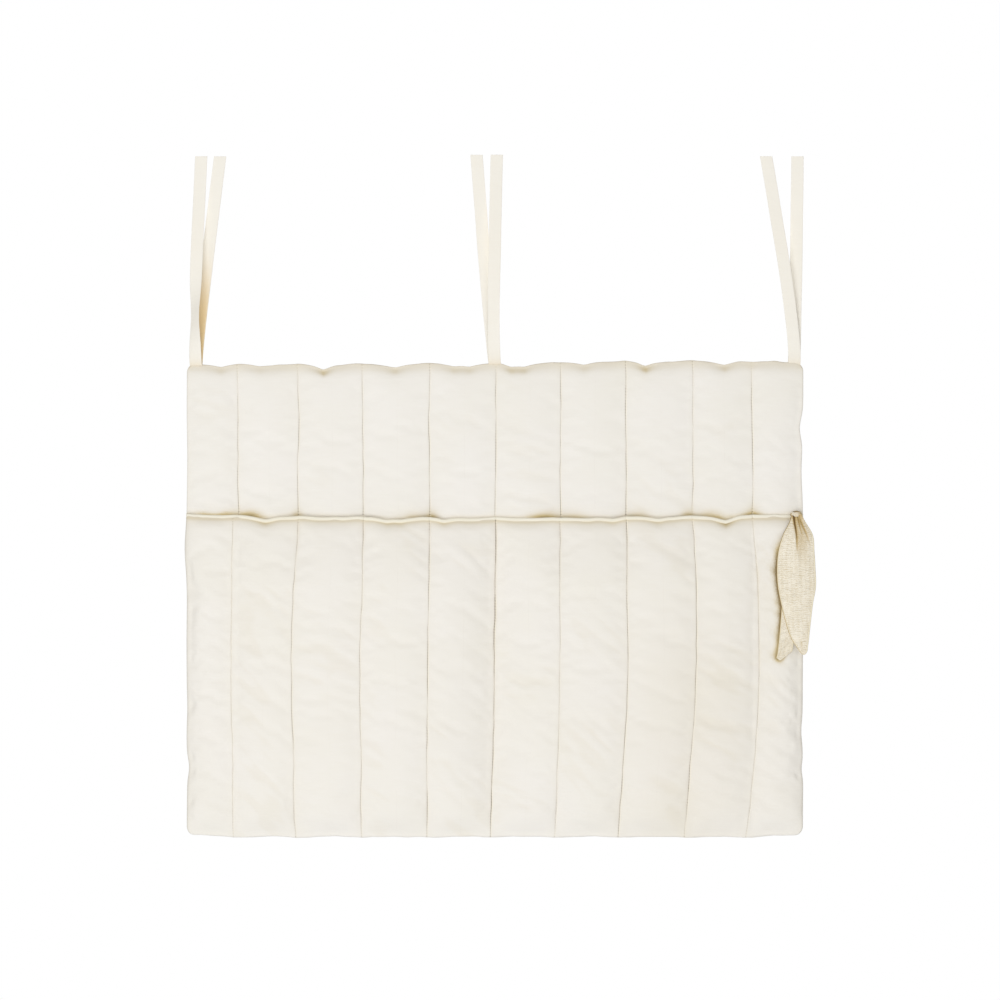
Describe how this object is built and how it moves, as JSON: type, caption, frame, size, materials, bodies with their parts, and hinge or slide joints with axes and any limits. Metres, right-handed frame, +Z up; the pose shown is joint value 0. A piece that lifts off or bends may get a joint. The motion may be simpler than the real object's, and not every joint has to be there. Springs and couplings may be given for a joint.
{
  "type": "crib organizer",
  "caption": "Quilted cotton panel with a divided full-width pocket, pairs of tie tapes along its top hem and a gauze sash knotted at the pocket's mouth.",
  "frame": {"origin": "middle of the top hem, on the panel's middle plane, where the tie tapes are sewn in", "axes": "+Z up towards the cot's rail, +X to the right seen from the front, -Y towards the viewer"},
  "size_m": [0.6139, 0.0277, 0.6653],
  "materials": {
    "cotton_face": "fine ivory cotton, matt with a faint sheen",
    "cotton_lining": "plain cream cotton, matt",
    "wadding": "soft white fleece",
    "binding_cotton": "rolled cream cotton, slightly shiny",
    "tape_cotton": "folded cotton tape, matt",
    "sash_gauze": "crinkled tan gauze, matt"
  },
  "bodies": {
    "root": {"back_face_cloth": "cotton_face", "back_wadding": "wadding", "back_lining": "cotton_lining", "pocket_left_side_face_cloth": "cotton_face", "pocket_left_side_wadding": "wadding", "pocket_left_side_lining": "cotton_lining", "pocket_left_side_binding": "binding_cotton", "pocket_right_side_face_cloth": "cotton_face", "pocket_right_side_wadding": "wadding", "pocket_right_side_lining": "cotton_lining", "pocket_right_side_binding": "binding_cotton", "sash_knot": "sash_gauze"},
    "pocket_left_half": {"pocket_left_face_cloth": "cotton_face", "pocket_left_wadding": "wadding", "pocket_left_lining": "cotton_lining", "pocket_left_binding": "binding_cotton"},
    "pocket_right_half": {"pocket_right_face_cloth": "cotton_face", "pocket_right_wadding": "wadding", "pocket_right_lining": "cotton_lining", "pocket_right_binding": "binding_cotton"},
    "tie_left_front": {"tie_left_front": "tape_cotton"},
    "tie_left_rear": {"tie_left_rear": "tape_cotton"},
    "tie_centre_front": {"tie_centre_front": "tape_cotton"},
    "tie_centre_rear": {"tie_centre_rear": "tape_cotton"},
    "tie_right_front": {"tie_right_front": "tape_cotton"},
    "tie_right_rear": {"tie_right_rear": "tape_cotton"},
    "sash_rear": {"sash_rear_tail": "sash_gauze"},
    "sash_front": {"sash_front_tail": "sash_gauze"}
  },
  "joints": [
    {"name": "pocket_left_opens", "type": "hinge", "parent": "root", "child": "pocket_left_half", "pos_m": [-0.125, -0.0015, -0.462], "axis": [1, 0, 0], "range_deg": [0, 8], "stiffness_Nm_per_rad": 0.2, "springref_deg": -20.05},
    {"name": "pocket_right_opens", "type": "hinge", "parent": "root", "child": "pocket_right_half", "pos_m": [0.125, -0.0015, -0.462], "axis": [1, 0, 0], "range_deg": [0, 8], "stiffness_Nm_per_rad": 0.2, "springref_deg": -20.05},
    {"name": "tie_left_front_folds", "type": "hinge", "parent": "root", "child": "tie_left_front", "pos_m": [-0.291, -0.0015, -0.00122], "axis": [1, 0, 0], "range_deg": [0, 160]},
    {"name": "tie_left_rear_folds", "type": "hinge", "parent": "root", "child": "tie_left_rear", "pos_m": [-0.291, 0.0015, -0.00122], "axis": [-1, 0, 0], "range_deg": [0, 160]},
    {"name": "tie_centre_front_folds", "type": "hinge", "parent": "root", "child": "tie_centre_front", "pos_m": [0, -0.0015, 0.0003], "axis": [1, 0, 0], "range_deg": [0, 160]},
    {"name": "tie_centre_rear_folds", "type": "hinge", "parent": "root", "child": "tie_centre_rear", "pos_m": [0, 0.0015, 0.0003], "axis": [-1, 0, 0], "range_deg": [0, 160]},
    {"name": "tie_right_front_folds", "type": "hinge", "parent": "root", "child": "tie_right_front", "pos_m": [0.291, -0.0015, -0.00122], "axis": [1, 0, 0], "range_deg": [0, 160]},
    {"name": "tie_right_rear_folds", "type": "hinge", "parent": "root", "child": "tie_right_rear", "pos_m": [0.291, 0.0015, -0.00122], "axis": [-1, 0, 0], "range_deg": [0, 160]},
    {"name": "sash_rear_lifts", "type": "hinge", "parent": "root", "child": "sash_rear", "pos_m": [0.2927, -0.0159, -0.1515], "axis": [-0.9659, -0.2588, 0], "range_deg": [0, 80]},
    {"name": "sash_front_lifts", "type": "hinge", "parent": "sash_rear", "child": "sash_front", "pos_m": [0.2927, -0.0159, -0.1515], "axis": [-0.9659, -0.2588, 0], "range_deg": [0, 60]}
  ]
}
